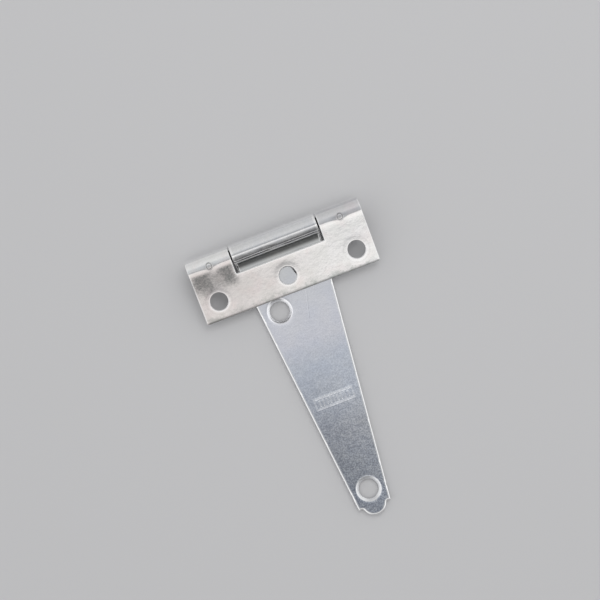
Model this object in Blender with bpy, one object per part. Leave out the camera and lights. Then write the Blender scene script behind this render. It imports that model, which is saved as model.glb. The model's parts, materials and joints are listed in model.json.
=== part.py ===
"""A light T hinge, folded shut. Metres, +Z up.

The strap leaf lies with its back on z = 0 and points along -Y, and the pin runs along X.
The butt leaf is folded over the strap's front, until its free edge is just off the strap.
The origin is on the strap's back face, at the middle of the hinge's footprint.

Each leaf is drawn about the pin's axis: its section holds the flat sheet and the curl that
makes its knuckles, and it is extruded along X and then cut to its outline and its holes.
"""

import math

import bmesh
import bpy
from mathutils import Matrix, Vector

MM = 0.001

# Sheet, pin and barrel
SHEET = 1.6 * MM
PIN_RADIUS = 1.8 * MM
PIN_CLEARANCE = 0.1 * MM
PIN_CHAMFER = 0.3 * MM
PIN_RECESS = 0.4 * MM  # how far each pin end stays inside the barrel
BORE_RADIUS = PIN_RADIUS + PIN_CLEARANCE
BARREL_RADIUS = BORE_RADIUS + SHEET
CURL_PAST_LEAF = math.radians(22.5)  # where the curl ends, beyond the leaf's own direction

# Strap leaf, with the middle knuckle
STRAP_REACH = 101.6 * MM  # pin axis to tip
KNUCKLE_WIDTH = 31.2 * MM
TAPER_START = 4.0 * MM  # pin axis to where the taper begins
SHOULDER_REACH = 98.2 * MM
SHOULDER_WIDTH = 11.8 * MM
LOBE_RADIUS = 4.3 * MM  # the rounded tip
LOBE_FILLET = 0.8 * MM  # the hollow corner between a shoulder and the tip
STRAP_HOLE_RADIUS = 3.45 * MM
STRAP_HOLES = [(7.0 * MM, 11.0 * MM), (-6.9 * MM, 24.0 * MM), (0.0, 92.2 * MM)]  # x, reach

# Butt leaf, with the two outer knuckles
BUTT_WIDTH = 63.5 * MM
BUTT_REACH = 19.5 * MM  # pin axis to free edge
KNUCKLE_GAP = 0.6 * MM  # between the middle knuckle and an outer one
NOTCH_REACH = 6.2 * MM  # pin axis to the notch's far edge
BUTT_HOLE_RADIUS = 3.2 * MM
BUTT_HOLE_SPACING = 25.4 * MM
BUTT_HOLE_REACH = 13.0 * MM
STAKE_X = 24.2 * MM  # the dimples that lock the pin in the outer knuckles
STAKE_RADIUS = 1.1 * MM
STAKE_DEPTH = 0.4 * MM

# Countersinks, on the front of each leaf
COUNTERSINK_RADIUS = 4.4 * MM
COUNTERSINK_SLOPE = 1.0  # depth gained for each unit of radius: a 90 degree seat

# Placing
REST_GAP = 0.3 * MM  # between the butt leaf's free edge and the strap, folded shut
PIN_Y = (STRAP_REACH - BARREL_RADIUS) / 2
PIN_AXIS = Vector((0.0, PIN_Y, BARREL_RADIUS))

# Fineness
ARC_STEP = math.radians(7.5)
HOLE_SIDES = 48
STAKE_SIDES = 24
CUT_MARGIN = 1.0 * MM  # how far a cutter runs past the sheet

BACK_DOWN = -1
BACK_UP = 1


def closed_tilt():
    """The butt leaf's slope, folded shut, with its front corner REST_GAP above the strap."""
    corner = math.hypot(BUTT_REACH, BORE_RADIUS)
    drop = BORE_RADIUS - REST_GAP
    return math.asin(drop / corner) + math.atan2(BORE_RADIUS, BUTT_REACH)


def arc(centre, radius, start, end):
    """Points (x, y) along an arc, its two ends included."""
    steps = max(2, math.ceil(abs(end - start) / ARC_STEP))
    angles = [start + (end - start) * i / steps for i in range(steps + 1)]
    return [(centre[0] + radius * math.cos(a), centre[1] + radius * math.sin(a)) for a in angles]


def leaf_section(reach):
    """The sheet's section as (reach, height towards the back): flat leaf, then the curl."""
    start = math.pi / 2
    end = 2 * math.pi + CURL_PAST_LEAF
    outside = arc((0, 0), BARREL_RADIUS, start, end)
    inside = arc((0, 0), BORE_RADIUS, end, start)
    return [(reach, BARREL_RADIUS)] + outside + inside + [(reach, BORE_RADIUS)]


def strap_outline():
    """The strap seen square on, as (x, reach), down its right side and up its left."""
    centre_reach = STRAP_REACH - LOBE_RADIUS
    fillet_reach = SHOULDER_REACH + LOBE_FILLET
    spread = LOBE_RADIUS + LOBE_FILLET
    fillet_x = math.sqrt(spread**2 - (fillet_reach - centre_reach) ** 2)
    meeting = math.atan2(fillet_reach - centre_reach, fillet_x)
    tip = arc((0, centre_reach), LOBE_RADIUS, meeting, math.pi / 2)
    hollow = arc((fillet_x, fillet_reach), LOBE_FILLET, 3 * math.pi / 2, math.pi + meeting)
    right = [
        (KNUCKLE_WIDTH / 2, -BARREL_RADIUS - CUT_MARGIN),
        (KNUCKLE_WIDTH / 2, TAPER_START),
        (SHOULDER_WIDTH / 2, SHOULDER_REACH),
    ]
    right += hollow + tip[1:]
    left = [(-x, reach) for x, reach in reversed(right[:-1])]
    return right + left


def mesh_object(name, bm):
    """A new object with the bmesh's shape, its faces turned outwards."""
    bmesh.ops.recalc_face_normals(bm, faces=bm.faces)
    mesh = bpy.data.meshes.new(name)
    bm.to_mesh(mesh)
    bm.free()
    obj = bpy.data.objects.new(name, mesh)
    bpy.context.scene.collection.objects.link(obj)
    return obj


def prism(name, corners, sweep):
    """A flat outline of 3D corners, extruded along the vector sweep."""
    bm = bmesh.new()
    face = bm.faces.new([bm.verts.new(c) for c in corners])
    side = bmesh.ops.extrude_face_region(bm, geom=[face])["geom"]
    moved = [v for v in side if isinstance(v, bmesh.types.BMVert)]
    bmesh.ops.translate(bm, vec=sweep, verts=moved)
    return mesh_object(name, bm)


def turned(name, profile, sides):
    """A solid of revolution about Z from (radius, z) pairs, closed at both ends."""
    bm = bmesh.new()
    rings = []
    for radius, z in profile:
        angles = [2 * math.pi * i / sides for i in range(sides)]
        ring = [bm.verts.new((radius * math.cos(a), radius * math.sin(a), z)) for a in angles]
        rings.append(ring)
    for lower, upper in zip(rings, rings[1:]):
        for i in range(sides):
            j = (i + 1) % sides
            bm.faces.new((lower[i], lower[j], upper[j], upper[i]))
    bm.faces.new(reversed(rings[0]))
    bm.faces.new(rings[-1])
    return mesh_object(name, bm)


def cut(target, cutter, operation):
    """Cuts the target with a hidden cutter that moves with it."""
    cutter.parent = target
    cutter.hide_render = True
    cutter.display_type = "WIRE"
    modifier = target.modifiers.new(cutter.name, "BOOLEAN")
    modifier.operation = operation
    modifier.object = cutter


def leaf(name, reach, width, back):
    """A plain leaf of that width along X, pointing along -Y, its back down or up."""
    section = leaf_section(reach)
    corners = [(-width / 2, -a, back * b) for a, b in section]
    return prism(name, corners, Vector((width, 0, 0)))


def cut_screw_hole(target, label, x, reach, radius, back):
    """A screw hole with its countersink opening on the leaf's front."""
    depth = (COUNTERSINK_RADIUS - radius) * COUNTERSINK_SLOPE
    front = BORE_RADIUS
    profile = [
        (COUNTERSINK_RADIUS + CUT_MARGIN / COUNTERSINK_SLOPE, front - CUT_MARGIN),
        (radius, front + depth),
        (radius, BARREL_RADIUS + CUT_MARGIN),
    ]
    cutter = turned(f"{target.name}_cutter_{label}", profile, HOLE_SIDES)
    if back == BACK_DOWN:
        cutter.rotation_euler = (math.pi, 0, 0)
    cutter.location = (x, -reach, 0)
    cut(target, cutter, "DIFFERENCE")


def strap_leaf():
    """The long tapered leaf, its back down, with the middle knuckle."""
    strap = leaf("strap_leaf", STRAP_REACH + CUT_MARGIN, KNUCKLE_WIDTH + CUT_MARGIN, BACK_DOWN)
    low = -BARREL_RADIUS - CUT_MARGIN
    corners = [(x, -reach, low) for x, reach in strap_outline()]
    height = Vector((0, 0, 2 * (BARREL_RADIUS + CUT_MARGIN)))
    cut(strap, prism("strap_cutter_outline", corners, height), "INTERSECT")
    for number, (x, reach) in enumerate(STRAP_HOLES):
        cut_screw_hole(strap, number, x, reach, STRAP_HOLE_RADIUS, BACK_DOWN)
    strap.location = PIN_AXIS
    return strap


def cut_notch(butt):
    """The space between the outer knuckles that the strap's knuckle turns in."""
    half = KNUCKLE_WIDTH / 2 + KNUCKLE_GAP
    near = BARREL_RADIUS + CUT_MARGIN
    corners = [
        (-half, near, -near),
        (half, near, -near),
        (half, -NOTCH_REACH, -near),
        (-half, -NOTCH_REACH, -near),
    ]
    cut(butt, prism("butt_cutter_notch", corners, Vector((0, 0, 2 * near))), "DIFFERENCE")


def cut_stake(butt, label, x):
    """A dimple punched into an outer knuckle from the leaf's back."""
    profile = [
        (STAKE_RADIUS - STAKE_DEPTH, BARREL_RADIUS - STAKE_DEPTH),
        (STAKE_RADIUS + CUT_MARGIN, BARREL_RADIUS + CUT_MARGIN),
    ]
    cutter = turned(f"butt_cutter_stake_{label}", profile, STAKE_SIDES)
    cutter.location = (x, 0, 0)
    cut(butt, cutter, "DIFFERENCE")


def butt_leaf():
    """The short wide leaf, folded over the strap with its back up."""
    butt = leaf("butt_leaf", BUTT_REACH, BUTT_WIDTH, BACK_UP)
    cut_notch(butt)
    for number in (-1, 0, 1):
        x = number * BUTT_HOLE_SPACING
        cut_screw_hole(butt, number + 1, x, BUTT_HOLE_REACH, BUTT_HOLE_RADIUS, BACK_UP)
    for label, x in enumerate((-STAKE_X, STAKE_X)):
        cut_stake(butt, label, x)
    butt.location = PIN_AXIS
    butt.rotation_euler = (closed_tilt(), 0, 0)
    return butt


def hinge_pin():
    """The pin through all three knuckles, held by the dimples and turning with the butt leaf."""
    half = BUTT_WIDTH / 2 - PIN_RECESS
    profile = [
        (PIN_RADIUS - PIN_CHAMFER, -half),
        (PIN_RADIUS, -half + PIN_CHAMFER),
        (PIN_RADIUS, half - PIN_CHAMFER),
        (PIN_RADIUS - PIN_CHAMFER, half),
    ]
    pin = turned("hinge_pin", profile, HOLE_SIDES)
    pin.data.transform(Matrix.Rotation(math.pi / 2, 4, "Y"))
    pin.location = PIN_AXIS
    return pin


def finish(obj, colour, roughness):
    """Smooth shading on the round faces, and the piece's own zinc-plated steel."""
    obj.data.shade_smooth()
    obj.data.set_sharp_from_angle(angle=math.radians(30))
    material = bpy.data.materials.new(obj.name)
    material.use_nodes = True
    shader = material.node_tree.nodes["Principled BSDF"]
    shader.inputs["Base Color"].default_value = (*colour, 1.0)
    shader.inputs["Metallic"].default_value = 1.0
    shader.inputs["Roughness"].default_value = roughness
    obj.data.materials.append(material)


def main():
    for obj in list(bpy.data.objects):
        bpy.data.objects.remove(obj)
    finish(strap_leaf(), (0.60, 0.62, 0.64), 0.34)
    finish(butt_leaf(), (0.76, 0.75, 0.74), 0.26)
    finish(hinge_pin(), (0.58, 0.59, 0.60), 0.38)


main()
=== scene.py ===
"""The looks of a light T hinge in bright zinc-plated steel, folded shut on a pale floor.

Each leaf is made as a press makes it: a flat blank with its outline, holes, countersinks and
stamped marks, which is then curled round the pin. A blank's points are (x, q): x runs along the
pin, and q along the sheet. On the flat leaf q is the reach from the pin's axis, and in the curl
it is below 0. Blanks are drawn in millimetres and built in metres.
"""

import json
import math
from typing import NamedTuple

import bmesh
import bpy
import numpy as np
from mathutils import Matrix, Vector, noise
from mathutils.geometry import delaunay_2d_cdt


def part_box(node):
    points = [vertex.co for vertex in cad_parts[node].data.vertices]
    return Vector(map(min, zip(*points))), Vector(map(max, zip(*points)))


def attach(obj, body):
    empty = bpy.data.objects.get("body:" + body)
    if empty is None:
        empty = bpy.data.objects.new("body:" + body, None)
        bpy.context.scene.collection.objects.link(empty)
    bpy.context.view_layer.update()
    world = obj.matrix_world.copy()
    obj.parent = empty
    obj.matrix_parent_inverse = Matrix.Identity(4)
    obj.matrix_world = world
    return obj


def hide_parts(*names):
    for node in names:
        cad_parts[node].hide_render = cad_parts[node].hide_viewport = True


MM = 0.001

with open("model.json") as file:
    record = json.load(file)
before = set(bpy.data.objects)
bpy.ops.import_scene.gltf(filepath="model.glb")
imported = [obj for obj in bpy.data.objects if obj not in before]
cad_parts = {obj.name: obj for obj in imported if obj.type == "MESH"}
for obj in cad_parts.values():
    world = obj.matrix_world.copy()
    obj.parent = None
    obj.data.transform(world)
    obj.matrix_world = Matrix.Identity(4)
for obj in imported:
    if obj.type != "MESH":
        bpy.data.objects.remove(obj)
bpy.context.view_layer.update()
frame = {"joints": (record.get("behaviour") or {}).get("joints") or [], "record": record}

# The frame's own sizes, in millimetres
PIN_AXIS = Vector(frame["joints"][0]["pos_m"]) / MM
MOUNTS = {mount["name"]: mount for mount in frame["record"]["mounts"]}
BUTT_NORMAL = MOUNTS["butt_back"]["axis"]
TILT = math.atan2(-BUTT_NORMAL[1], BUTT_NORMAL[2])  # how steeply the butt comes down on the strap
STRAP_LOW, STRAP_HIGH = (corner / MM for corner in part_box("strap_leaf"))
BUTT_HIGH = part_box("butt_leaf")[1] / MM
PIN_LOW, PIN_HIGH = (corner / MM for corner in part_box("hinge_pin"))

# Sheet and curl
BARREL_RADIUS = PIN_AXIS.z
PIN_RADIUS = (PIN_HIGH.z - PIN_LOW.z) / 2
SHEET = 1.6
MID_HEIGHT = BARREL_RADIUS - SHEET / 2  # from the pin's axis to the middle of the flat sheet
EASE = 2.0  # length over which the flat leaf eases into the curl
CURL_RADIUS = MID_HEIGHT - EASE**2 / (24 * MID_HEIGHT)  # to the middle of the curled sheet
CURL_TURN = math.radians(290)
CURL_LENGTH = CURL_TURN * CURL_RADIUS

# Strap leaf
KNUCKLE_HALF = STRAP_HIGH.x
STRAP_REACH = PIN_AXIS.y - STRAP_LOW.y
TAPER_START = 4.0
LOBE_LENGTH = 3.4  # how far the round lobe at the tip stands past the shoulders
SHOULDER_REACH = STRAP_REACH - LOBE_LENGTH
SHOULDER_HALF = 5.9
LOBE_RADIUS = 4.3
LOBE_FILLET = 0.8
STRAP_HOLE_RADIUS = 3.45
STRAP_HOLES = [(centre, STRAP_HOLE_RADIUS) for centre in [(7.0, 11.4), (-6.9, 24.0), (0.0, 92.2)]]

# The stamped bar on the strap: a raised frame round a row of ribs
STAMP_CENTRE = (0.0, 58.8)
STAMP_HALF = (7.2, 2.1)
STAMP_HEIGHT = 0.1
STAMP_LINE_INSET = 0.3
STAMP_LINE_WIDTH = 0.28
STAMP_RIB = 1.3  # from rib to rib
STAMP_RIB_INSET = 0.8
STAMP_RIB_FADE = 0.4

# Butt leaf
BUTT_HALF = BUTT_HIGH.x
BUTT_REACH = 19.5
KNUCKLE_GAP = 0.6
NOTCH_HALF = KNUCKLE_HALF + KNUCKLE_GAP
NOTCH_REACH = 6.2
NOTCH_FILLET = 0.35
CORNER_RADIUS = 0.7
BUTT_HOLE_RADIUS = 3.12
BUTT_HOLES = [(centre, BUTT_HOLE_RADIUS) for centre in [(-25.1, 13.0), (0.15, 13.0), (25.4, 13.0)]]

# Staked marks on the outer knuckles, each a ring-shaped groove in a shallow dish
STAKES = [-24.0, 23.9]
STAKE_Q = 0.4
STAKE_RADIUS = 0.95
STAKE_GROOVE = (0.09, 0.2)  # depth and width
STAKE_DISH = (0.07, 2.0)
STAKE_SHADE_WIDTH = 0.25

# Pressed details
COUNTERSINK_RADIUS = 4.4
COUNTERSINK_LIP = 0.25  # softness of the countersink's outer corner
LIP_HEIGHTS = [0.055, 0.065, 0.03]  # how far each countersink pushes the butt's back out round it
LIP_WIDTH = 1.4
RELIEF_REACH = 5.5  # the strap's front steps down from here towards the end of its curl
RELIEF_LENGTH = 1.4
RELIEF_DEPTH = 0.28
RELIEF_END = 1.0  # and runs out within a millimetre of this q
BURR_HEIGHT = 0.03
BURR_WIDTH = 0.55
BURR_START = 2.0
BURR_LENGTH = 3.0  # over which the burr grows to its full height
SWELL_HEIGHT = 0.07  # ridge where the butt's curl runs into its flat leaf
SWELL_Q = 0.7
SWELL_WIDTHS = (0.5, 0.9)  # on the curl's side and on the leaf's
SWELL_BEND = (0.5, 2.3)  # how far it bends away beside a staked mark, and over what width
SWELL_WANDER = 8  # how much more than the sheet's own waves the ridge wanders
WAVINESS = 0.03
WAVE_LENGTHS = (14, 11)  # along x and along q
STRAP_WAVES = 3.1  # which slice of the noise each set of waves is read from
BUTT_WAVES = 7.7
SWELL_WAVES = 1.3
FRONT_EDGE = 0.6  # radius that the press leaves on the front's edges
BACK_EDGE = 0.16

# Pin: each corner of its chamfered end, as distances in from the end and from the side
PIN_PROFILE = [(0, 0.55), (0, 0.3), (0.02, 0.27), (0.26, 0.02), (0.32, 0), (1.0, 0)]
PIN_SIDES = 64

# Spacing of the points, in millimetres
CURL_STEP = 0.2
NECK_STEP = 0.6  # along the sides next to the curl
LONG_STEP = 1.2  # along the long edges
BUTT_END_STEP = 1.0
LOBE_STEP = 0.35
LOBE_FILLET_STEP = 0.2
CORNER_STEP = 0.15
NOTCH_FILLET_STEP = 0.1
CENTRELINE_STEP = 0.01
FILL_SPACING = 1.0
FILL_ROW = 0.87  # from row to row, as a share of the spacing in a row
FILL_GAP = 0.35  # least gap to the points that are there already
STAMP_MARGIN = 0.6
STAMP_STEPS = (0.15, 0.2)
STAMP_GAP = 0.1
STAKE_RINGS = [0.2, 0.4, 0.6, 0.75, 0.85, 0.95, 1.05, 1.15, 1.3, 1.5]
STAKE_GAP = 0.05
EDGE_RINGS = [0.012, 0.045, 0.09, 0.16, 0.28, 0.43, 0.6, 0.78]
EDGE_MARGIN = 0.1  # kept clear between the last ring and the points that fill the blank
EDGE_SHARE = 0.9  # a point on an inset ring is left out when it is nearer the outline than this
EDGE_GAP = 0.4  # least gap on a ring, as a share of the gap between it and the last one
HOLE_RINGS = [0.012, 0.045, 0.1, 0.2, 0.4, 0.7, 0.9, 1.0, 1.1, 1.2, 1.3, 1.45, 1.65, 1.85, 2.1, 2.4]
HOLE_MARGIN = 0.1
HOLE_RING_MARGIN = 0.3  # how near a ring round a hole comes to the outline
HOLE_SIDES = 72
MERGE = 1e-6
WHOLE_HULL = 0  # the triangulation's plainest output, which fills the whole convex hull
CHUNK = 500  # points compared at a time, to save memory


class Grain(NamedTuple):
    """Noise on the sheet: 0 below the low level and 1 above the high one."""

    scale: float  # lumps to the millimetre
    low: float
    high: float
    detail: float = 3.0
    rough: float = 0.55
    layer: float = 0.0  # which slice of the noise


def grey(value):
    """A neutral colour."""
    return (value, value, value, 1)


WHITE = (1.0, 1.0, 1.0, 1)

# Looks of the strap. A band rises between its first two values and falls between its last two
# Partly painted reflection, lighter in the strap's upper part and darker towards the tip, over the
# zinc's own bluish tone
STRAP_TONES = [
    (0.00, (0.84, 0.85, 0.85)),
    (0.13, (0.84, 0.84, 0.84)),
    (0.17, (0.88, 0.88, 0.90)),
    (0.25, (0.91, 0.91, 0.95)),
    (0.36, (0.93, 0.93, 0.98)),
    (0.45, (0.86, 0.90, 0.97)),
    (0.58, (0.88, 0.91, 0.96)),
    (0.68, (0.80, 0.81, 0.83)),
    (0.80, (0.72, 0.74, 0.77)),
    (0.92, (0.68, 0.71, 0.76)),
]
SIDE_SHADE = (0.80, 0.81, 0.83, 1)  # towards the strap's left side, beyond its middle
SIDE_SHADE_X = (-8.0, 8.0)
SIDE_SHADE_Q = (34.0, 66.0)
NEAR_SHADE = (0.84, 0.84, 0.82, 1)  # painted shade on the strap close to its knuckle, where the butt leaf covers it
NEAR_SHADE_Q = (9.5, 7.0)
KNUCKLE_GREY = 0.84
KNUCKLE_GREY_Q = (-3.0, -5.0)
CREVICE_PAINTED_SHADE = 0.19  # painted shade in the hollow beside the knuckle, where the knuckle shades the strap
CREVICE_SHADE_BAND = (2.5, 3.5, 4.5, 6.3)
STRAP_CLOUD = Grain(0.10, 0.35, 0.65, detail=2.0)
STRAP_CLOUD_TINT = (0.90, 0.93, 1.0, 1)
STRAP_CLOUD_DEPTH = 0.35
GRAIN_Q = (25.0, 85.0)  # the speckles grow from the first depth to the second between these
GRAIN_DEPTHS = (0.10, 0.85)
BLOTCHES = Grain(0.45, 0.38, 0.64, detail=4.0, rough=0.7)
BLOTCH_TINT = (0.74, 0.75, 0.78, 1)
SPECKLES = Grain(1.7, 0.43, 0.57, rough=0.75)
SPECKLE_TINT = (0.55, 0.56, 0.59, 1)
FLECKS = Grain(1.1, 0.52, 0.66, detail=5.0, rough=0.8, layer=5.0)
FLECK_GREY = 0.85
FLECK_DEPTH = 0.6
STREAKS = Grain(1.0, 0.42, 0.58)
STREAK_STRETCH = (0.12, 2.6)  # along x and along q
STREAK_SHARE = 0.4
SMEARS = Grain(1.0, 0.42, 0.60, layer=4.0)
SMEAR_STRETCH = (0.3, 1.1)
SMEAR_SHARE = 0.6
# Painted dark reflection in streaks and smears along the flank of the strap's knuckle
KNUCKLE_STREAK_GREY = 0.55
KNUCKLE_STREAK_BAND = (-10.9, -10.3, -9.6, -9.0)
SCRATCH_SLOPE = -0.26  # a faint scratch runs aslant beside the second hole
SCRATCH_X = 9.55  # where its line would cross q = 0
SCRATCH_WIDTH = 0.3
SCRATCH_HEIGHT = 1.5
SCRATCH_BAND = (19.5, 21.0, 29.0, 30.2)
FLANK_DULLNESS = 0.85  # of the knuckle's flank that faces the strap
FLANK_Q = (-10.9, -11.5)
STRAP_RIM = (1.0, 0.45, 1.0)  # painted highlight along the edges: strength, and the widths of the bright edge and its fade

# Looks of the butt leaf
# Tones across the butt: its own warm tone, with painted reflection making the barrel lighter to the
# left and the leaf lighter to the right
BARREL_TONES = [
    (0.0, (0.97, 0.97, 0.97)),
    (0.3, (0.95, 0.95, 0.95)),
    (0.7, (0.80, 0.80, 0.82)),
    (1.0, (0.78, 0.78, 0.80)),
]
BUTT_TONES = [
    (0.0, (0.78, 0.74, 0.73)),
    (0.3, (0.82, 0.79, 0.78)),
    (0.6, (0.88, 0.86, 0.85)),
    (1.0, (0.97, 0.97, 0.97)),
]
BARREL_END_Q = (0.0, 1.7)
BUTT_CLOUD = Grain(0.16, 0.38, 0.62)
BUTT_CLOUD_TINT = (0.92, 0.93, 0.91, 1)
BUTT_CLOUD_DEPTH = 0.5
BLUSH = Grain(0.13, 0.45, 0.70, layer=9.0)
BLUSH_TINT = (1.0, 0.94, 0.94, 1)
BLUSH_DEPTH = 0.6
DUST = Grain(1.5, 0.38, 0.64, detail=4.0, rough=0.7)
DUST_GREY = 0.75
DUST_DEPTH = 0.14
# Painted dark reflection on the butt by its left-hand curl: a wash and two blotches with mottled,
# wandering outlines
DARK_REFLECTION_COLOUR = (0.175, 0.18, 0.178, 1)
DARK_REFLECTION_WASH = ((-24.3, 6.0), (8.6, 3.0), 1.5)  # middle, half size and softness of the faint part
DARK_REFLECTION_WASH_DEPTH = 0.6
DARK_REFLECTION_BLOTCHES = [((-28.2, 6.0), (3.3, 5.0), 1.8), ((-19.0, 6.0), (2.9, 5.0), 1.8)]
DARK_REFLECTION_START_Q = (1.4, 2.9)
DARK_REFLECTION_END_Q = (6.6, 10.8)
# How noise moves the painted dark reflection's outline: distance, then the noise's scale, detail,
# roughness and layer
DARK_REFLECTION_SIDEWAYS = (5.0, 0.35, 4.0, 0.55, 2.0)
DARK_REFLECTION_ENDWAYS = (6.0, 0.3, 4.0, 0.6, 0.0)
DARK_REFLECTION_MOTTLE = Grain(1.4, 0.40, 0.58, detail=5.0, rough=0.9)
DARK_REFLECTION_DEPTHS = (0.60, 0.95)
LIP_SHADE_GREY = 0.86  # painted shade in a faint ring outside each hole's lip
LIP_SHADE_BAND = (1.0, 1.35, 1.4, 1.9)
LIP_SHADE_DEPTH = 0.4
# painted shade in the grooves of the staked marks
STAKE_SHADE_GREY = 0.35
STAKE_SHADE_LEVELS = (0.3, 0.9)
STAKE_SHADE_DEPTH = 0.75
EDGE_SPOTS = Grain(0.22, 0.44, 0.62, detail=4.0, rough=0.65)
EDGE_SPOT_TINT = (0.62, 0.66, 0.64, 1)
EDGE_SPOT_DEPTH = 0.7
EDGE_SPOT_Q = (BUTT_REACH - 3.6, BUTT_REACH - 0.6)
# painted shade along the butt's long free edge, where it rests on the strap
FREE_EDGE_SHADE_GREY = 0.45
FREE_EDGE_Q = (BUTT_REACH - 0.6, BUTT_REACH - 0.2)
NOTCH_RIM_X = (NOTCH_HALF + 0.6, NOTCH_HALF)
NOTCH_RIM_Q = (8.2, 6.8)
PLAIN_RIM_Q = (BUTT_REACH - 0.6, BUTT_REACH - 1.2)
# painted highlight along the butt's edges: strength, and the widths of the bright edge and its fade
BUTT_RIM = (0.55, 0.15, 0.6)

# Looks of both leaves
OUTER_SHEEN_GREY = 0.98  # painted sheen on the barrel's side that faces away from the leaves
OUTER_SHEEN_DEPTH = 0.9
OUTER_SHEEN_BAND = (-6.6, -5.4, -4.0, -3.0)
SUNK_GAPS = (0.85, 1.15)  # painted highlight: a countersink is bright up to the first gap and plain from the second
SUNK_Q = (30.0, 80.0)
SUNK_DEPTHS = (0.3, 0.8)
# painted highlight in a ring round each hole's lip on the back
LIP_GAPS = (0.3, 1.0)
LIP_DEPTH = 0.8
LIP_Q = (11.0, 15.0)
LIP_DEPTHS = (0.3, 1.0)
# painted highlight on the stamped mark
MARK_LEVELS = (0.2, 0.9)
MARK_DEPTH = 0.28
# how far the painted highlights whiten the colour
PAINTED_HIGHLIGHT_DEPTH = 0.9
CUT_WIDTH = 0.012
CUT_DULLNESS = 0.7
ROUGHNESS = 0.09
HAZE = (0.5, 4.0)  # scale and detail of the noise
HAZE_ROUGHNESS = 0.10
RUBBED_ROUGHNESS = 0.22
DULL_ROUGHNESS = 0.5
WIDE_RIPPLES = (0.7, 3.0)
FINE_RIPPLES = (3.0, 2.0)
FINE_SHARE = 0.2
RIPPLE_HEIGHT = 0.000025
RIPPLE_GAPS = (0.4, 1.3)  # the ripples are weak on the rounded edge and full from the second on
RIPPLE_STRENGTHS = (0.1, 1.0)

# Looks of the pin, in metres
PIN_LIGHT = (0.66, 0.66, 0.67, 1)
PIN_DARK = (0.42, 0.42, 0.43, 1)
PIN_NOISE = (900.0, 3.0)
PIN_NOISE_DEPTH = 0.5
PIN_NOISE_LEVELS = (0.2, 0.8)
PIN_ROUGHNESS = (0.22, 0.4)
# painted shade on the pin in the gaps between the knuckles
GAP_SHADE_GREY = 0.05
GAP_MIDDLE_X = (KNUCKLE_HALF + KNUCKLE_GAP / 2) * MM
GAP_SHADE_WIDTHS = (0.0006, 0.0015)

# Room, camera, floor and lamp
# Each tone of the room stands at a lean in degrees: 0 straight up, 90 towards the knuckles' side
ROOM_TONES = [
    (-90, (0.17, 0.17, 0.17)),
    (-71, (0.27, 0.27, 0.27)),
    (-58, (0.39, 0.39, 0.39)),
    (-45, (0.52, 0.52, 0.52)),
    (-34, (0.76, 0.76, 0.76)),
    (-27, (1.00, 0.99, 0.98)),
    (-20, (0.97, 0.96, 0.95)),
    (-15, (0.46, 0.46, 0.47)),
    (-9, (0.40, 0.41, 0.42)),
    (-4, (0.53, 0.54, 0.56)),
    (2, (0.66, 0.67, 0.68)),
    (12, (0.76, 0.76, 0.76)),
    (36, (0.71, 0.71, 0.71)),
    (61, (0.64, 0.64, 0.64)),
    (90, (0.66, 0.66, 0.66)),
]
ROOM_ENDS = (0.30, 0.75)  # how far a direction leans along the pin before it meets a white end
AIM = Vector((1.01, 26.19))  # the camera's sizes are in millimetres
FIELD_WIDTH = 207.6
CAMERA_HEIGHT = 620.0
CAMERA_TURN = math.radians(20.85)
SENSOR_WIDTH = 36
FLOOR_COLOUR = (0.585, 0.585, 0.595, 1)
FLOOR_ROUGHNESS = 0.85
FLOOR_SHINE = 0.2
FLOOR_HALF = 2.0  # metres, as are the lamp's sizes
FLOOR_LEVEL = -0.0004
LAMP_SIZE = 0.40
LAMP_POWER = 0.75
LAMP_PLACE = (0.24, 0.34, 0.60)


def arc(centre, radius, start, end, step):
    """Points along an arc, its two ends included, about step apart."""
    count = max(3, math.ceil(abs(end - start) * radius / step))
    angles = np.linspace(start, end, count + 1)
    return [(centre[0] + radius * math.cos(a), centre[1] + radius * math.sin(a)) for a in angles]


def run(start, end, step):
    """Points from start towards end, about step apart, the end left out."""
    count = max(1, round(math.dist(start, end) / step))
    first = np.array(start)
    way = np.array(end) - first
    return [tuple(first + way * i / count) for i in range(count)]


def mirrored(points):
    """The points mirrored across the middle of the pin, in the opposite order."""
    return [(-x, q) for x, q in reversed(points)]


def strap_blank():
    """The strap's flat outline, its curl included, anticlockwise."""
    centre_q = STRAP_REACH - LOBE_RADIUS
    fillet_q = SHOULDER_REACH + LOBE_FILLET
    fillet_x = math.sqrt((LOBE_RADIUS + LOBE_FILLET) ** 2 - (fillet_q - centre_q) ** 2)
    meeting = math.atan2(fillet_q - centre_q, fillet_x)
    right = run((KNUCKLE_HALF, -CURL_LENGTH), (KNUCKLE_HALF, EASE), CURL_STEP)
    right += run((KNUCKLE_HALF, EASE), (KNUCKLE_HALF, TAPER_START), NECK_STEP)
    right += run((KNUCKLE_HALF, TAPER_START), (SHOULDER_HALF, SHOULDER_REACH), LONG_STEP)
    right += [(SHOULDER_HALF, SHOULDER_REACH)]
    right += arc((fillet_x, fillet_q), LOBE_FILLET, 1.5 * math.pi, math.pi + meeting, LOBE_FILLET_STEP)
    right += arc((0, centre_q), LOBE_RADIUS, meeting, math.pi / 2, LOBE_STEP)[1:]
    left = mirrored(right[1:-1]) + [(-KNUCKLE_HALF, -CURL_LENGTH)]
    bottom = run((-KNUCKLE_HALF, -CURL_LENGTH), (KNUCKLE_HALF, -CURL_LENGTH), LONG_STEP)[1:]
    return right + left + bottom


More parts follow.
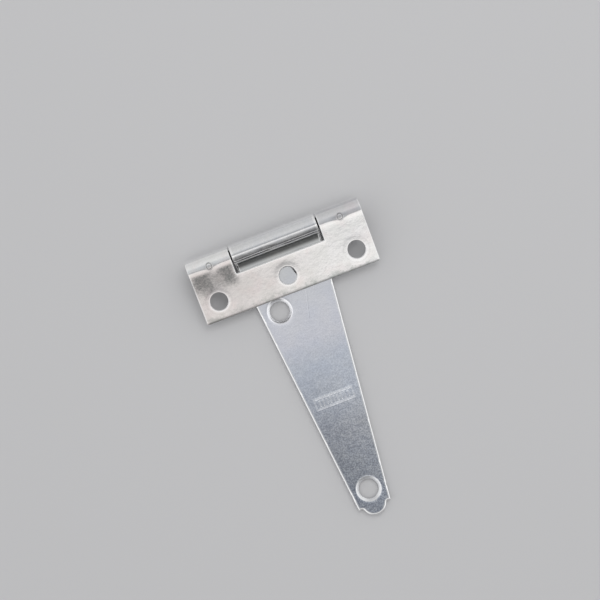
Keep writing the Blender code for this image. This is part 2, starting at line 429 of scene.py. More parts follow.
def butt_blank():
    """The butt leaf's flat outline, its two curls and the notch between them included."""
    end = -CURL_LENGTH
    corner = (BUTT_HALF - CORNER_RADIUS, BUTT_REACH - CORNER_RADIUS)
    right = run((BUTT_HALF, end), (BUTT_HALF, EASE), CURL_STEP)
    right += run((BUTT_HALF, EASE), (BUTT_HALF, corner[1]), BUTT_END_STEP)
    right += arc(corner, CORNER_RADIUS, 0, math.pi / 2, CORNER_STEP)
    right += run((corner[0], BUTT_REACH), (0, BUTT_REACH), LONG_STEP)[1:]
    fillet = (-NOTCH_HALF + NOTCH_FILLET, NOTCH_REACH - NOTCH_FILLET)
    inner = run((-BUTT_HALF, end), (-NOTCH_HALF, end), LONG_STEP)[1:]
    inner += run((-NOTCH_HALF, end), (-NOTCH_HALF, EASE), CURL_STEP)
    inner += run((-NOTCH_HALF, EASE), (-NOTCH_HALF, fillet[1]), NECK_STEP)
    inner += arc(fillet, NOTCH_FILLET, math.pi, math.pi / 2, NOTCH_FILLET_STEP)
    inner += run((fillet[0], NOTCH_REACH), (0, NOTCH_REACH), LONG_STEP)[1:]
    outer = right + [(0, BUTT_REACH)] + mirrored(right)
    return outer + inner + [(0, NOTCH_REACH)] + mirrored(inner)


def inset(loop, distance):
    """The loop moved inwards by that distance, its corners mitred. The loop runs anticlockwise."""
    along = np.roll(loop, -1, axis=0) - loop
    along /= np.linalg.norm(along, axis=1, keepdims=True)
    inward = np.stack([-along[:, 1], along[:, 0]], axis=1)
    before = np.roll(inward, 1, axis=0)
    mitre = before + inward
    mitre /= (1 + (before * inward).sum(1))[:, None]
    return loop + mitre * distance


def edge_distance(points, loop):
    """How far each point is from the loop."""
    starts = np.array(loop)
    ends = np.roll(starts, -1, axis=0)
    nearest = np.full(len(points), np.inf)
    for start, end in zip(starts, ends):
        side = end - start
        share = np.clip(((points - start) @ side) / (side @ side), 0, 1)
        gap = np.hypot(*(points - start - share[:, None] * side).T)
        nearest = np.minimum(nearest, gap)
    return nearest


def inside(points, loop):
    """Which points lie inside the loop."""
    start = np.array(loop)
    end = np.roll(start, -1, axis=0)
    x, q = points[:, 0:1], points[:, 1:2]
    crosses = (start[:, 1] > q) != (end[:, 1] > q)
    rise = np.where(end[:, 1] == start[:, 1], 1.0, end[:, 1] - start[:, 1])
    crossing = start[:, 0] + (q - start[:, 1]) * (end[:, 0] - start[:, 0]) / rise
    return (crosses & (x < crossing)).sum(1) % 2 == 1


def rounding(distance, radius):
    """How far a rounded edge has dropped at that distance in from it."""
    near = np.clip(radius - distance, 0, radius)
    return radius - np.sqrt(radius**2 - near**2)


def soft_positive(value, softness):
    """The value where it is positive and 0 where it is negative, with a soft corner."""
    return (value + np.sqrt(value**2 + softness**2)) / 2


def ridge(distance, centre, width):
    """A rounded ridge of height 1 at that distance."""
    return np.exp(-(((distance - centre) / width) ** 2))


def smooth_step(value):
    """0 below 0 and 1 above 1, with a smooth rise between."""
    share = np.clip(value, 0, 1)
    return share**2 * (3 - 2 * share)


def with_new(kept, new, gap):
    """The kept points, and those new ones that are further than gap from every kept one."""
    if not len(new):
        return kept
    clear = np.ones(len(new), bool)
    for start in range(0, len(new), CHUNK):
        part = new[start : start + CHUNK]
        span = np.hypot(part[:, 0:1] - kept[:, 0], part[:, 1:2] - kept[:, 1])
        clear[start : start + CHUNK] = span.min(1) > gap
    return np.concatenate([kept, new[clear]])


def ring(centre, radius):
    """Points round a circle."""
    angles = np.linspace(0, 2 * math.pi, HOLE_SIDES, endpoint=False)
    return np.array(centre) + radius * np.stack([np.cos(angles), np.sin(angles)], axis=1)


def fill_points(half_width, reach):
    """Points to fill a blank with: close rows round the curl, wider rows on the flat leaf."""
    rows = []
    columns = np.arange(-half_width, half_width, FILL_SPACING) + FILL_SPACING / 2
    for q in np.arange(-CURL_LENGTH, EASE, CURL_STEP):
        rows.append(np.stack([columns, np.full(len(columns), q)], axis=1))
    for index, q in enumerate(np.arange(EASE, reach, FILL_SPACING * FILL_ROW)):
        shifted = columns + (index % 2) * FILL_SPACING / 2
        rows.append(np.stack([shifted, np.full(len(shifted), q)], axis=1))
    return np.concatenate(rows)


def strap_spots():
    """The points inside the strap's blank, and how far they keep from those that came before."""
    half_x, half_q = (half + STAMP_MARGIN for half in STAMP_HALF)
    x_step, q_step = STAMP_STEPS
    columns = np.arange(-half_x, half_x + x_step / 2, x_step)
    rows = np.arange(-half_q, half_q + q_step / 2, q_step)
    stamp = [(x, STAMP_CENTRE[1] + q) for x in columns for q in rows]
    return [(np.array(stamp), STAMP_GAP), (fill_points(KNUCKLE_HALF, STRAP_REACH), FILL_GAP)]


def butt_spots():
    """The points inside the butt's blank, and how far they keep from those that came before."""
    rings = [ring((x, STAKE_Q), radius)[::2] for x in STAKES for radius in STAKE_RINGS]
    return [(np.concatenate(rings), STAKE_GAP), (fill_points(BUTT_HALF, BUTT_REACH), FILL_GAP)]


def outside_holes(points, holes):
    """The points that are not in any hole, nor close to its edge."""
    for centre, radius in holes:
        points = points[np.hypot(*(points - centre).T) > radius + HOLE_MARGIN]
    return points


def with_hole_rings(kept, outline, holes):
    """The kept points, with rings round each hole."""
    for centre, radius in holes:
        for width in HOLE_RINGS:
            circle = ring(centre, radius + width)
            circle = circle[inside(circle, outline)]
            circle = circle[edge_distance(circle, outline) > HOLE_RING_MARGIN]
            kept = with_new(kept, circle, min(width, HOLE_MARGIN) / 2)
    return kept


def with_edge_rings(kept, outline, holes):
    """The kept points, with rings that follow the outline inside it."""
    last = 0.0
    for width in EDGE_RINGS:
        band = inset(outline, width)
        band = band[inside(band, outline)]
        band = band[edge_distance(band, outline) > EDGE_SHARE * width]
        kept = with_new(kept, outside_holes(band, holes), EDGE_GAP * (width - last))
        last = width
    return kept


def with_spots(kept, outline, holes, spots):
    """The kept points, with those of the spots that lie inside the outline's rings."""
    for group, gap in spots:
        group = group[inside(group, outline)]
        group = outside_holes(group, holes)
        group = group[edge_distance(group, outline) > EDGE_RINGS[-1] + EDGE_MARGIN]
        kept = with_new(kept, group, gap)
    return kept


def loop_edges(loops):
    """The edges of closed loops whose points follow each other in one list."""
    edges = []
    first = 0
    for loop in loops:
        count = len(loop)
        edges += [(first + i, first + (i + 1) % count) for i in range(count)]
        first += count
    return edges


def triangulate(outline, holes, spots):
    """The blank's points and triangles: fine rings along each edge, and wider ones between."""
    outline = np.array(outline)
    loops = [outline] + [ring(centre, radius) for centre, radius in holes]
    kept = with_hole_rings(np.concatenate(loops), outline, holes)
    kept = with_edge_rings(kept, outline, holes)
    kept = with_spots(kept, outline, holes, spots)
    result = delaunay_2d_cdt([Vector(p) for p in kept], loop_edges(loops), [], WHOLE_HULL, MERGE)
    points = np.array([tuple(p) for p in result[0]])
    triangles = np.array(result[2])
    middles = points[triangles].mean(1)
    solid = inside(middles, outline)
    for hole in loops[1:]:
        solid &= ~inside(middles, hole)
    return points, triangles[solid]


def centreline():
    """The middle of the sheet from the side: q, distance along the leaf, height and slope."""
    q = np.arange(EASE / 2, -CURL_LENGTH - 2 * CENTRELINE_STEP, -CENTRELINE_STEP)
    eased = (EASE / 2 - q) ** 2 / (2 * CURL_RADIUS * EASE)
    turn = np.where(q > -EASE / 2, eased, -q / CURL_RADIUS)
    middle = (turn[1:] + turn[:-1]) / 2
    step = q[0] - q[1]
    reach = q[0] - np.concatenate([[0], np.cumsum(np.cos(middle) * step)])
    height = MID_HEIGHT - np.concatenate([[0], np.cumsum(np.sin(middle) * step)])
    return q[::-1], reach[::-1], height[::-1], turn[::-1]


def curl(points, lift):
    """Reach from the pin's axis and height above it, towards the back, of the curled points."""
    q, reach, height, turn = centreline()
    at = points[:, 1]
    flat = at > q[-1]
    angle = np.where(flat, 0, np.interp(at, q, turn))
    along = np.where(flat, at, np.interp(at, q, reach)) - lift * np.sin(angle)
    up = np.where(flat, MID_HEIGHT, np.interp(at, q, height)) + lift * np.cos(angle)
    return along, up


def strap_place(points, lift):
    """World places in metres of the strap's points: it lies with its back down."""
    along, up = curl(points, lift)
    world = np.stack([points[:, 0], PIN_AXIS.y - along, PIN_AXIS.z - up], axis=1)
    return world * MM


def butt_place(points, lift):
    """World places in metres of the butt's points: back up, tilted down onto the strap."""
    along, up = curl(points, lift)
    y = -along * math.cos(TILT) - up * math.sin(TILT)
    z = -along * math.sin(TILT) + up * math.cos(TILT)
    world = np.stack([points[:, 0], PIN_AXIS.y + y, PIN_AXIS.z + z], axis=1)
    return world * MM


def hole_distances(points, holes):
    """The distance of each point from each hole's centre."""
    return [np.hypot(*(points - centre).T) for centre, _ in holes]


def hole_gap(points, holes):
    """The distance of each point from the nearest hole's edge."""
    gaps = [far - radius for (_, radius), far in zip(holes, hole_distances(points, holes))]
    return np.min(gaps, axis=0)


def undulation(points, layer):
    """The slight unevenness of rolled sheet."""
    x_length, q_length = WAVE_LENGTHS
    values = [noise.noise(Vector((x / x_length, q / q_length, layer))) for x, q in points]
    return WAVINESS * np.array(values)


def plain_faces(points, outline, holes):
    """Heights of a plain blank's back and front, with rounded edges and countersunk holes."""
    edge = edge_distance(points, outline)
    back = SHEET / 2 - rounding(edge, BACK_EDGE)
    front = -SHEET / 2 + rounding(edge, FRONT_EDGE)
    for (_, radius), far in zip(holes, hole_distances(points, holes)):
        back = back - rounding(np.clip(far - radius, 0, None), BACK_EDGE)
        front = front + soft_positive(COUNTERSINK_RADIUS - far, COUNTERSINK_LIP)
    return back, front


def stamp_pattern(points):
    """How raised the strap's stamped mark is, 0 to 1: a bar-shaped frame with plain ribs inside."""
    x = points[:, 0] - STAMP_CENTRE[0]
    q = points[:, 1] - STAMP_CENTRE[1]
    out = np.maximum(np.abs(x) - STAMP_HALF[0], np.abs(q) - STAMP_HALF[1])
    frame_line = ridge(out, -STAMP_LINE_INSET, STAMP_LINE_WIDTH)
    waves = 0.5 + 0.5 * np.cos(2 * math.pi * x / STAMP_RIB)
    ribs = waves * np.clip(-STAMP_RIB_INSET - out, 0, STAMP_RIB_FADE) / STAMP_RIB_FADE
    return np.maximum(frame_line, ribs)


def shape_strap(points, faces):
    """The strap's two faces, with the stamped mark and the relief by the curl on its front."""
    back, front = faces
    wave = undulation(points, STRAP_WAVES)
    q = points[:, 1]
    step = smooth_step((RELIEF_REACH - q) / RELIEF_LENGTH)
    relief = RELIEF_DEPTH * step * np.clip(q - RELIEF_END, 0, 1)
    front = front + relief - STAMP_HEIGHT * stamp_pattern(points)
    return back + wave, front + wave


def shape_butt(points, faces):
    """The butt's two faces: lips round the holes, a swell along the curl and two staked marks."""
    back, front = faces
    wave = undulation(points, BUTT_WAVES)
    for far, height in zip(hole_distances(points, BUTT_HOLES), LIP_HEIGHTS):
        beyond = np.clip(far - BUTT_HOLE_RADIUS, 0, None)
        back = back + height * ridge(beyond, 0, LIP_WIDTH)
    x, q = points[:, 0], points[:, 1]
    bend = SWELL_BEND[0] * ridge(np.abs(x), -STAKES[0], SWELL_BEND[1])
    crest = SWELL_Q + bend + SWELL_WANDER * undulation(points * 2, SWELL_WAVES)
    back = back + SWELL_HEIGHT * ridge(q, crest, np.where(q < crest, *SWELL_WIDTHS))
    burr = ridge(edge_distance(points, butt_blank()), 0, BURR_WIDTH)
    back = back + BURR_HEIGHT * burr * np.clip((q - BURR_START) / BURR_LENGTH, 0, 1)
    for stake in STAKES:
        span = np.hypot(x - stake, q - STAKE_Q)
        back = back - STAKE_GROOVE[0] * ridge(span, STAKE_RADIUS, STAKE_GROOVE[1])
        back = back - STAKE_DISH[0] * ridge(span, 0, STAKE_DISH[1])
    return back + wave, front + wave


def sheet_faces(triangles, count):
    """Faces of a sheet: its back, its front, and the walls that join them round every edge.

    The front's points follow the back's, of which there are that many.
    """
    back = [tuple(int(i) for i in triangle) for triangle in triangles]
    front = [tuple(i + count for i in reversed(triangle)) for triangle in back]
    sides = {(face[i], face[(i + 1) % 3]) for face in back for i in range(3)}
    rims = [(start, end) for start, end in sides if (end, start) not in sides]
    walls = [(end, start, start + count, end + count) for start, end in rims]
    return back + front + walls


def closed_mesh(name, places, faces):
    """A smooth mesh with its faces pointing out."""
    mesh = bpy.data.meshes.new(name)
    mesh.from_pydata(places, [], faces)
    shell = bmesh.new()
    shell.from_mesh(mesh)
    bmesh.ops.recalc_face_normals(shell, faces=shell.faces)
    shell.to_mesh(mesh)
    shell.free()
    mesh.shade_smooth()
    return mesh


def store(mesh, name, back, front):
    """Keeps one number for each point of the two faces, for the material to read."""
    layer = mesh.attributes.new(name, "FLOAT", "POINT")
    layer.data.foreach_set("value", np.concatenate([back, front]).astype(np.float32))


def store_blank(mesh, points, blank, holes, mark):
    """Keeps where each point lies on its blank, and how near the edges and marks it is."""
    zeros = np.zeros(len(points))
    rims = edge_distance(points, blank)
    gaps = hole_gap(points, holes)
    spans = [np.hypot(points[:, 0] - x, points[:, 1] - STAKE_Q) for x in STAKES]
    grooves = ridge(np.array(spans), STAKE_RADIUS, STAKE_SHADE_WIDTH).max(axis=0)
    store(mesh, "blank_x", points[:, 0], points[:, 0])
    store(mesh, "blank_q", points[:, 1], points[:, 1])
    store(mesh, "rim", rims, rims)
    store(mesh, "hole_gap", gaps, gaps)
    store(mesh, "mark", zeros, mark)
    store(mesh, "groove", grooves, zeros)
    store(mesh, "front", zeros, zeros + 1)


def new_object(name, data):
    """An object in the scene."""
    item = bpy.data.objects.new(name, data)
    bpy.context.collection.objects.link(item)
    return item


def make_leaf(name, body, blank, holes, spots, shape, place):
    """A leaf made from its blank: two skins, one on each face, joined round every edge."""
    points, triangles = triangulate(blank, holes, spots)
    back, front = shape(points, plain_faces(points, blank, holes))
    places = np.concatenate([place(points, back), place(points, front)])
    mesh = closed_mesh(name, places.tolist(), sheet_faces(triangles, len(points)))
    mark = stamp_pattern(points) if body == "strap" else np.zeros(len(points))
    store_blank(mesh, points, blank, holes, mark)
    piece = new_object(name, mesh)
    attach(piece, body)
    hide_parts(body + "_leaf")
    return piece


def make_pin():
    """The pin: a plain rod with chamfered ends."""
    stations = [(PIN_LOW.x + x, PIN_RADIUS - drop) for x, drop in PIN_PROFILE]
    stations += [(PIN_HIGH.x - x, PIN_RADIUS - drop) for x, drop in reversed(PIN_PROFILE)]
    turns = np.linspace(0, 2 * math.pi, PIN_SIDES, endpoint=False)
    places = []
    for x, radius in stations:
        for turn in turns:
            spot = (x, PIN_AXIS.y + radius * math.cos(turn), PIN_AXIS.z + radius * math.sin(turn))
            places.append(Vector(spot) * MM)
    rows = np.arange(len(places)).reshape(len(stations), PIN_SIDES)
    faces = []
    for low, high in zip(rows.tolist(), rows[1:].tolist()):
        for i in range(PIN_SIDES):
            j = (i + 1) % PIN_SIDES
            faces.append((low[i], low[j], high[j], high[i]))
    faces += [rows[0].tolist(), rows[-1].tolist()]
    piece = new_object("hinge_pin_rod", closed_mesh("hinge_pin_rod", places, faces))
    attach(piece, "butt")
    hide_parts("hinge_pin")
    return piece


class Graph:
    """The nodes of a material or of the world, with short names for the few kinds they need."""

    def __init__(self, owner, last):
        owner.use_nodes = True
        self.nodes = owner.node_tree.nodes
        self.links = owner.node_tree.links
        self.last = self.nodes[last]

    def plug(self, socket, value):
        """Links a value that is a node's output, and sets one that is a plain number or colour."""
        if isinstance(value, bpy.types.NodeSocket):
            self.links.new(value, socket)
        else:
            socket.default_value = value

    def give(self, name, value):
        """Gives a value to the last node, which makes the look."""
        self.plug(self.last.inputs[name], value)

    def math(self, operation, first, second=0.0, clamp=False):
        """One step of arithmetic."""
        node = self.nodes.new("ShaderNodeMath")
        node.operation = operation
        node.use_clamp = clamp
        self.plug(node.inputs[0], first)
        self.plug(node.inputs[1], second)
        return node.outputs[0]

    def product(self, first, *others):
        """All the values multiplied together."""
        for value in others:
            first = self.math("MULTIPLY", first, value)
        return first

    def size_of(self, value):
        """The value without its sign."""
        return self.math("ABSOLUTE", value)

    def coordinates(self, kind):
        """The coordinates of that kind, whole and split into x, y and z."""
        whole = self.nodes.new("ShaderNodeTexCoord").outputs[kind]
        node = self.nodes.new("ShaderNodeSeparateXYZ")
        self.plug(node.inputs[0], whole)
        return whole, tuple(node.outputs)

    def stored(self, name):
        """The number of that name that the mesh keeps for each point."""
        node = self.nodes.new("ShaderNodeAttribute")
        node.attribute_name = name
        return node.outputs["Fac"]

    def combine(self, x, y, z):
        """A place made from its three coordinates."""
        node = self.nodes.new("ShaderNodeCombineXYZ")
        for socket, value in zip(node.inputs, (x, y, z)):
            self.plug(socket, value)
        return node.outputs[0]

    def noise(self, place, scale, detail, rough=0.55):
        """Soft noise about 0.5, at that many lumps to the place's unit of length."""
        node = self.nodes.new("ShaderNodeTexNoise")
        self.plug(node.inputs["Vector"], place)
        node.inputs["Scale"].default_value = scale
        node.inputs["Detail"].default_value = detail
        node.inputs["Roughness"].default_value = rough
        return node.outputs["Fac"]

    def spread(self, value, low, high, to_low=0.0, to_high=1.0, curve="SMOOTHSTEP"):
        """The value from low to high, carried to to_low and to_high along that curve."""
        node = self.nodes.new("ShaderNodeMapRange")
        node.interpolation_type = curve
        self.plug(node.inputs["Value"], value)
        self.plug(node.inputs["From Min"], low)
        self.plug(node.inputs["From Max"], high)
        self.plug(node.inputs["To Min"], to_low)
        self.plug(node.inputs["To Max"], to_high)
        return node.outputs["Result"]

    def fade(self, value, low, high, start=1.0):
        """The start value below low, carried smoothly down to 0 at high."""
        return self.spread(value, low, high, start, 0.0)

    def band(self, value, start, full, fading, end):
        """Rises from 0 to 1 between the first two values and falls back between the last two."""
        return self.product(self.spread(value, start, full), self.spread(value, end, fading))

    def grain(self, x, q, look, to_low=0.0, to_high=1.0):
        """A Grain's noise at x and q of the blank."""
        lumps = self.noise(self.combine(x, q, look.layer), look.scale, look.detail, look.rough)
        return self.spread(lumps, look.low, look.high, to_low, to_high)

    def tones(self, value, stops):
        """The colour at that value between the stops."""
        node = self.nodes.new("ShaderNodeValToRGB")
        ramp = node.color_ramp
        ramp.elements.remove(ramp.elements[0])
        for index, (where, colour) in enumerate(stops):
            element = ramp.elements[0] if index == 0 else ramp.elements.new(where)
            element.position = where
            element.color = (*colour, 1)
        self.plug(node.inputs[0], value)
        return node.outputs[0]

    def mix(self, factor, first, second, blend="MIX"):
        """The first colour, changed by the second as far as the factor says."""
        node = self.nodes.new("ShaderNodeMix")
        node.data_type = "RGBA"
        node.blend_type = blend
        colours = [socket for socket in node.inputs if socket.type == "RGBA"]
        self.plug(node.inputs[0], factor)
        self.plug(colours[0], first)
        self.plug(colours[1], second)
        return next(socket for socket in node.outputs if socket.type == "RGBA")

    def tint(self, colour, shade, *masks):
        """The colour multiplied by the shade where the masks are all 1."""
        return self.mix(self.product(*masks), colour, shade, "MULTIPLY")

    def bump(self, height, distance, strength):
        """Tilts the surface by a height from 0 to 1, where 1 stands for this many metres."""
        node = self.nodes.new("ShaderNodeBump")
        node.inputs["Distance"].default_value = distance
        self.plug(node.inputs["Strength"], strength)
        self.plug(node.inputs["Height"], height)
        self.give("Normal", node.outputs[0])


def new_material(name):
    """A material and its graph."""
    material = bpy.data.materials.new(name)
    return material, Graph(material, "Principled BSDF")


def box_mask(graph, x, q, centre, half, soft):
    """1 inside a rectangle of the blank and 0 outside, with soft sides."""
    out_x = graph.math("SUBTRACT", graph.size_of(graph.math("SUBTRACT", x, centre[0])), half[0])
    out_q = graph.math("SUBTRACT", graph.size_of(graph.math("SUBTRACT", q, centre[1])), half[1])
    return graph.fade(graph.math("MAXIMUM", out_x, out_q), -soft, soft)


def shaded_strap(graph, x, q):
    """The strap's broad tones, partly painted reflection: pale, greyer to the lower left, with painted
    shade close to the knuckle and in the hollow beside it.
    """
    along = graph.math("DIVIDE", q, STRAP_REACH, clamp=True)
    colour = graph.tones(along, STRAP_TONES)
    left = graph.fade(x, *SIDE_SHADE_X)
    colour = graph.tint(colour, SIDE_SHADE, left, graph.spread(q, *SIDE_SHADE_Q))
    # painted shade close to the knuckle, under the butt leaf
    colour = graph.tint(colour, NEAR_SHADE, graph.spread(q, *NEAR_SHADE_Q))
    colour = graph.mix(graph.spread(q, *KNUCKLE_GREY_Q), colour, grey(KNUCKLE_GREY))
    # painted shade, dark, in the hollow beside the knuckle
    return graph.tint(colour, grey(CREVICE_PAINTED_SHADE), graph.band(q, *CREVICE_SHADE_BAND))


def grained_strap(graph, colour, x, q):
    """The colour with clouds, and with speckles that grow towards the tip."""
    colour = graph.tint(colour, STRAP_CLOUD_TINT, graph.grain(x, q, STRAP_CLOUD), STRAP_CLOUD_DEPTH)
    depth = graph.spread(q, *GRAIN_Q, *GRAIN_DEPTHS)
    colour = graph.tint(colour, BLOTCH_TINT, graph.grain(x, q, BLOTCHES), depth)
    colour = graph.tint(colour, SPECKLE_TINT, graph.grain(x, q, SPECKLES), depth)
    flecks = graph.product(graph.grain(q, x, FLECKS), graph.product(depth, FLECK_DEPTH))
    return graph.mix(flecks, colour, grey(FLECK_GREY))


def knuckle_reflection_streaks(graph, x, q):
    """Painted dark reflection: streaks and smears along the upper side of the strap's knuckle, 0 to 1.
    """
    drawn = [graph.product(value, by) for value, by in zip((x, q), STREAK_STRETCH)]
    streaks = graph.product(graph.grain(*drawn, STREAKS), STREAK_SHARE)
    rubbed = [graph.product(value, by) for value, by in zip((x, q), SMEAR_STRETCH)]
    smears = graph.product(graph.grain(*rubbed, SMEARS), SMEAR_SHARE)
    return graph.product(graph.math("ADD", streaks, smears), graph.band(q, *KNUCKLE_STREAK_BAND))


def strap_scratch(graph, x, q):
    """The height of one faint slanting scratch."""
    path = graph.math("ADD", graph.product(q, SCRATCH_SLOPE), SCRATCH_X)
    off_path = graph.size_of(graph.math("SUBTRACT", x, path))
    line = graph.fade(off_path, 0.0, SCRATCH_WIDTH, SCRATCH_HEIGHT)
    return graph.product(line, graph.band(q, *SCRATCH_BAND))


def zinc_strap():
    """Bluish bright zinc, clear by the hinge and more and more speckled towards the tip."""
    material, graph = new_material("bright_zinc_strap")
    x, q = graph.stored("blank_x"), graph.stored("blank_q")
    colour = grained_strap(graph, shaded_strap(graph, x, q), x, q)
    # painted dark reflection in streaks along the knuckle
    colour = graph.tint(colour, grey(KNUCKLE_STREAK_GREY), knuckle_reflection_streaks(graph, x, q))
    dull = graph.spread(q, *FLANK_Q, 0.0, FLANK_DULLNESS)
    finish(graph, x, q, colour, STRAP_RIM, dull, strap_scratch(graph, x, q))
    return material


def clouded_butt(graph, x, q):
    """The butt's broad tones, partly painted reflection: its barrel and its leaf, with clouds, a blush
    and fine dust.
    """
    across = graph.spread(x, -BUTT_HALF, BUTT_HALF)
    barrel = graph.tones(across, BARREL_TONES)
    leaf = graph.tones(across, BUTT_TONES)
    colour = graph.mix(graph.spread(q, *BARREL_END_Q), barrel, leaf)
    colour = graph.tint(colour, BUTT_CLOUD_TINT, graph.grain(x, q, BUTT_CLOUD), BUTT_CLOUD_DEPTH)
    colour = graph.tint(colour, BLUSH_TINT, graph.grain(q, x, BLUSH), BLUSH_DEPTH)
    return graph.tint(colour, grey(DUST_GREY), graph.grain(x, q, DUST), DUST_DEPTH)


def wander(graph, first, second, look):
    """A distance in millimetres, either way, by which noise moves an outline."""
    distance, scale, detail, rough, layer = look
    lumps = graph.noise(graph.combine(first, second, layer), scale, detail, rough)
    return graph.product(graph.math("SUBTRACT", lumps, 0.5), distance)


def butt_dark_reflection(graph, x, q):
    """How strong the painted dark reflection by the left-hand curl is: a wash and two blotches,
    clouded.
    """
    moved_x = graph.math("ADD", x, wander(graph, q, x, DARK_REFLECTION_SIDEWAYS))
    moved_q = graph.math("ADD", q, wander(graph, x, q, DARK_REFLECTION_ENDWAYS))
    dark_reflection = graph.product(box_mask(graph, moved_x, q, *DARK_REFLECTION_WASH), DARK_REFLECTION_WASH_DEPTH)
    for blotch in DARK_REFLECTION_BLOTCHES:
        dark_reflection = graph.math("MAXIMUM", dark_reflection, box_mask(graph, moved_x, q, *blotch))
    between = graph.product(graph.spread(q, *DARK_REFLECTION_START_Q), graph.fade(moved_q, *DARK_REFLECTION_END_Q))
    return graph.product(dark_reflection, between, graph.grain(x, q, DARK_REFLECTION_MOTTLE, *DARK_REFLECTION_DEPTHS))


def butt_rim(graph, x, q):
    """The butt's painted edge highlight: full along the notch, weaker at its ends, none on its free
    edge.
    """
    between = graph.spread(graph.size_of(x), *NOTCH_RIM_X)
    notch = graph.product(between, graph.spread(q, *NOTCH_RIM_Q))
    strength, narrow, wide = BUTT_RIM
    plain = graph.spread(q, *PLAIN_RIM_Q, 0.0, strength)
    return graph.math("MAXIMUM", plain, notch), narrow, wide


def zinc_butt():
    """Bright zinc, warmer than the strap's, with a painted dark reflection, clouded, by the left-hand
    curl.
    """
    material, graph = new_material("bright_zinc_butt")
    x, q = graph.stored("blank_x"), graph.stored("blank_q")
    # painted dark reflection by the left-hand curl
    colour = graph.mix(butt_dark_reflection(graph, x, q), clouded_butt(graph, x, q), DARK_REFLECTION_COLOUR)
    lip_shade = graph.band(graph.stored("hole_gap"), *LIP_SHADE_BAND)
    colour = graph.tint(colour, grey(LIP_SHADE_GREY), lip_shade, LIP_SHADE_DEPTH)
    # painted shade in the staked marks' grooves
    groove = graph.spread(graph.stored("groove"), *STAKE_SHADE_LEVELS)
    colour = graph.tint(colour, grey(STAKE_SHADE_GREY), groove, STAKE_SHADE_DEPTH)
    near_edge = graph.spread(q, *EDGE_SPOT_Q)
    spots = graph.grain(x, q, EDGE_SPOTS)
    colour = graph.tint(colour, EDGE_SPOT_TINT, spots, near_edge, EDGE_SPOT_DEPTH)
    # painted shade along the free edge
    colour = graph.tint(colour, grey(FREE_EDGE_SHADE_GREY), graph.spread(q, *FREE_EDGE_Q))
    finish(graph, x, q, colour, butt_rim(graph, x, q), 0.0, 0.0)
    return material


def finish(graph, x, q, colour, rim_look, dull, scratch):
    """Painted highlights on the edges, countersinks, hole lips and stamped marks, painted sheen on the
    barrel's outer side, dull cuts, fine roughness and ripples.
    """
    place = graph.combine(x, q, 0.0)
    edge = graph.stored("rim")
    gap = graph.stored("hole_gap")
    # painted sheen where the curl turns under
    outer = graph.product(graph.band(q, *OUTER_SHEEN_BAND), OUTER_SHEEN_DEPTH)
    colour = graph.mix(outer, colour, grey(OUTER_SHEEN_GREY))
    strength, narrow, wide = rim_look
    # painted highlight along the edges
    rim = graph.fade(edge, narrow, wide, strength)
    on_front = graph.product(graph.stored("front"), graph.spread(q, *SUNK_Q, *SUNK_DEPTHS))
    sunk = graph.product(graph.fade(gap, *SUNK_GAPS), on_front)
    mark = graph.spread(graph.stored("mark"), *MARK_LEVELS, 0.0, MARK_DEPTH)
    lip = graph.product(graph.fade(gap, *LIP_GAPS, LIP_DEPTH), graph.spread(q, *LIP_Q, *LIP_DEPTHS))
    # painted highlights: edges, countersinks, hole lips and stamped marks
    rubbed = graph.math("MAXIMUM", graph.math("MAXIMUM", rim, sunk), graph.math("MAXIMUM", lip, mark))
    graph.give("Base Color", graph.mix(graph.product(rubbed, PAINTED_HIGHLIGHT_DEPTH), colour, WHITE))
    dull = graph.math("MAXIMUM", graph.fade(edge, 0.0, CUT_WIDTH, CUT_DULLNESS), dull)
    graph.give("Metallic", graph.math("SUBTRACT", 1.0, dull))
    rough = graph.math("ADD", graph.product(graph.noise(place, *HAZE), HAZE_ROUGHNESS), ROUGHNESS)
    stamped = graph.product(graph.math("MAXIMUM", sunk, mark), RUBBED_ROUGHNESS)
    rough = graph.math("ADD", rough, stamped)
    graph.give("Roughness", graph.math("ADD", rough, graph.product(dull, DULL_ROUGHNESS)))
    fine = graph.product(graph.noise(place, *FINE_RIPPLES), FINE_SHARE)
    ripples = graph.math("ADD", graph.noise(place, *WIDE_RIPPLES), fine)
    strength = graph.spread(edge, *RIPPLE_GAPS, *RIPPLE_STRENGTHS)
    graph.bump(graph.math("ADD", ripples, scratch), RIPPLE_HEIGHT, strength)


def zinc_pin():
    """Dull zinc, with painted shade on the pin in the gaps between the knuckles."""
    material, graph = new_material("dull_zinc_pin")
    place, (x, _, _) = graph.coordinates("Object")
    from_gap = graph.math("SUBTRACT", graph.size_of(x), GAP_MIDDLE_X)
    gap_shade = graph.fade(graph.size_of(from_gap), *GAP_SHADE_WIDTHS)
    turned = graph.noise(place, *PIN_NOISE)
    colour = graph.mix(graph.product(turned, PIN_NOISE_DEPTH), PIN_LIGHT, PIN_DARK)
    # painted shade in the gaps between the knuckles
    graph.give("Base Color", graph.mix(gap_shade, colour, grey(GAP_SHADE_GREY)))
    graph.give("Metallic", 1.0)
    graph.give("Roughness", graph.spread(turned, *PIN_NOISE_LEVELS, *PIN_ROUGHNESS))
    return material


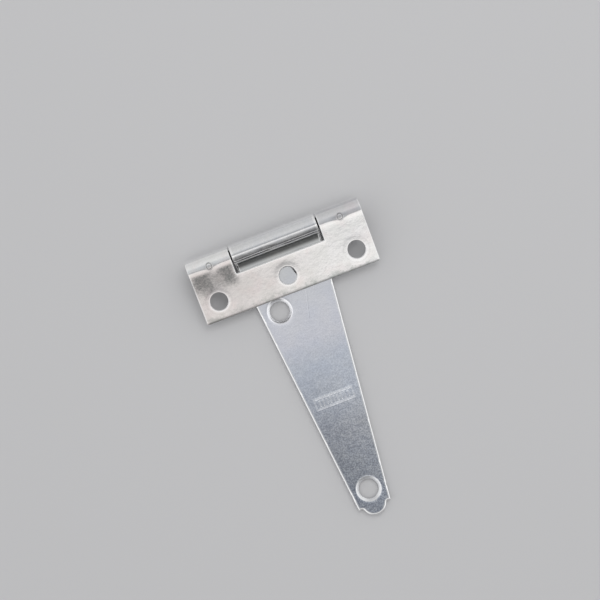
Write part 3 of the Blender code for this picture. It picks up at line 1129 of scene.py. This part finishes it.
def make_floor():
    """A plain pale floor just under the hinge."""
    mesh = bpy.data.meshes.new("floor")
    signs = [(-1, -1), (1, -1), (1, 1), (-1, 1)]
    corners = [(x * FLOOR_HALF, y * FLOOR_HALF, FLOOR_LEVEL) for x, y in signs]
    mesh.from_pydata(corners, [], [(0, 1, 2, 3)])
    floor = new_object("floor", mesh)
    material, graph = new_material("pale_floor")
    graph.give("Base Color", FLOOR_COLOUR)
    graph.give("Roughness", FLOOR_ROUGHNESS)
    graph.give("Specular IOR Level", FLOOR_SHINE)
    mesh.materials.append(material)


def make_camera():
    """A camera straight above, turned about its own line of sight."""
    lens = bpy.data.cameras.new("camera")
    lens.sensor_width = SENSOR_WIDTH
    lens.lens = SENSOR_WIDTH * CAMERA_HEIGHT / FIELD_WIDTH
    camera = new_object("camera", lens)
    camera.location = (AIM.x * MM, AIM.y * MM, CAMERA_HEIGHT * MM)
    camera.rotation_euler = (0, 0, -CAMERA_TURN)
    bpy.context.scene.camera = camera


def make_world():
    """The room that the metal mirrors: tones from the near side to the far side, and white ends."""
    world = bpy.data.worlds.new("studio")
    bpy.context.scene.world = world
    graph = Graph(world, "Background")
    _, (x, y, z) = graph.coordinates("Generated")
    lean = graph.math("ARCTAN2", y, z)
    share = graph.spread(lean, -math.pi / 2, math.pi / 2, curve="LINEAR")
    stops = [((degrees + 90) / 180, colour) for degrees, colour in ROOM_TONES]
    ends = graph.spread(graph.size_of(x), *ROOM_ENDS)
    graph.give("Color", graph.mix(ends, graph.tones(share, stops), WHITE))


def make_lamp():
    """A soft lamp to the upper right for the floor and its shadows; the metal doesn't mirror it."""
    light = bpy.data.lights.new("soft_lamp", "AREA")
    light.shape = "DISK"
    light.size = LAMP_SIZE
    light.energy = LAMP_POWER
    lamp = new_object("soft_lamp", light)
    lamp.location = LAMP_PLACE
    lamp.rotation_euler = (-lamp.location).to_track_quat("-Z", "Y").to_euler()
    lamp.visible_glossy = False


bpy.context.scene.view_settings.view_transform = "Standard"

strap = make_leaf("strap_sheet", "strap", strap_blank(), STRAP_HOLES, strap_spots(),
                  shape_strap, strap_place)
butt = make_leaf("butt_sheet", "butt", butt_blank(), BUTT_HOLES, butt_spots(),
                 shape_butt, butt_place)
pin = make_pin()
strap.data.materials.append(zinc_strap())
butt.data.materials.append(zinc_butt())
pin.data.materials.append(zinc_pin())
make_floor()
make_world()
make_lamp()
make_camera()
